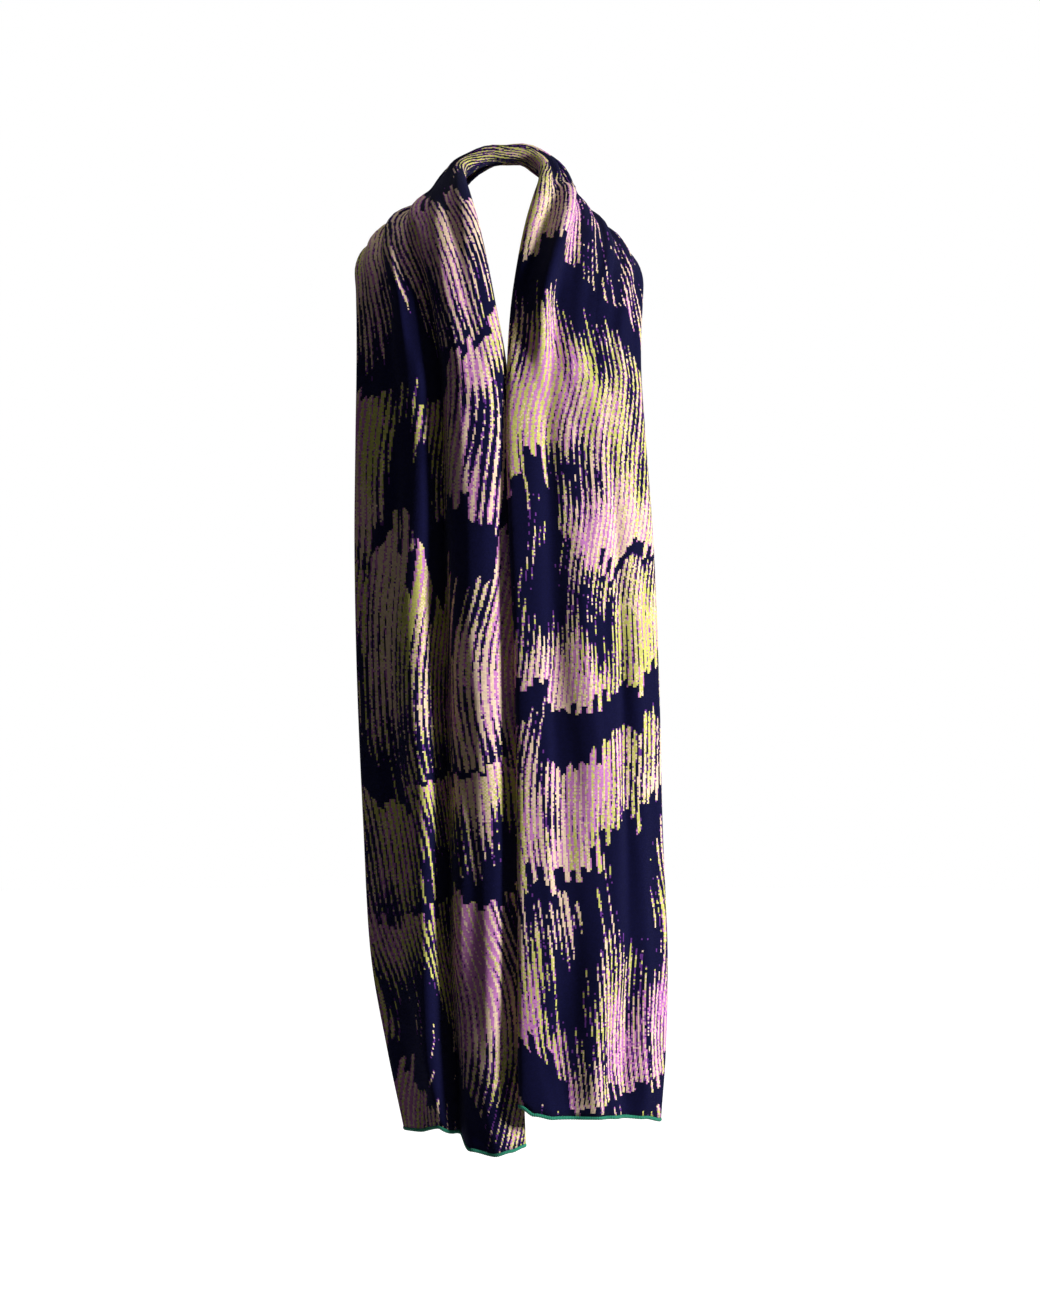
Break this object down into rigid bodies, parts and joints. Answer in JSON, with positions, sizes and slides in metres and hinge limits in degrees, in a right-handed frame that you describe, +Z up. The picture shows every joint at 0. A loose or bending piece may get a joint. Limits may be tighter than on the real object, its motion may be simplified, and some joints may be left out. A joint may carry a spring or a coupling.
{
  "type": "knit scarf",
  "caption": "Long jacquard knit scarf worn round the neck, gathered behind the nape and hanging in front in two long folded falls with narrow green hem edging",
  "frame": {"origin": "where the gathered nape band rests on the neck, at the middle of the band's neck side", "axes": "+Z up, -Y to the front where the two falls hang, +X to the right as seen from the front"},
  "size_m": [0.353, 0.189, 1.1412],
  "materials": {
    "knit": "matte fine-gauge jacquard knit in navy, orchid, peach and lime yarn",
    "edging": "matte emerald knitted edging"
  },
  "bodies": {
    "root": {"left_fall": "knit", "nape_stretch": "knit", "right_fall": "knit", "left_hem_edging": "edging", "right_hem_edging": "edging"}
  },
  "joints": []
}
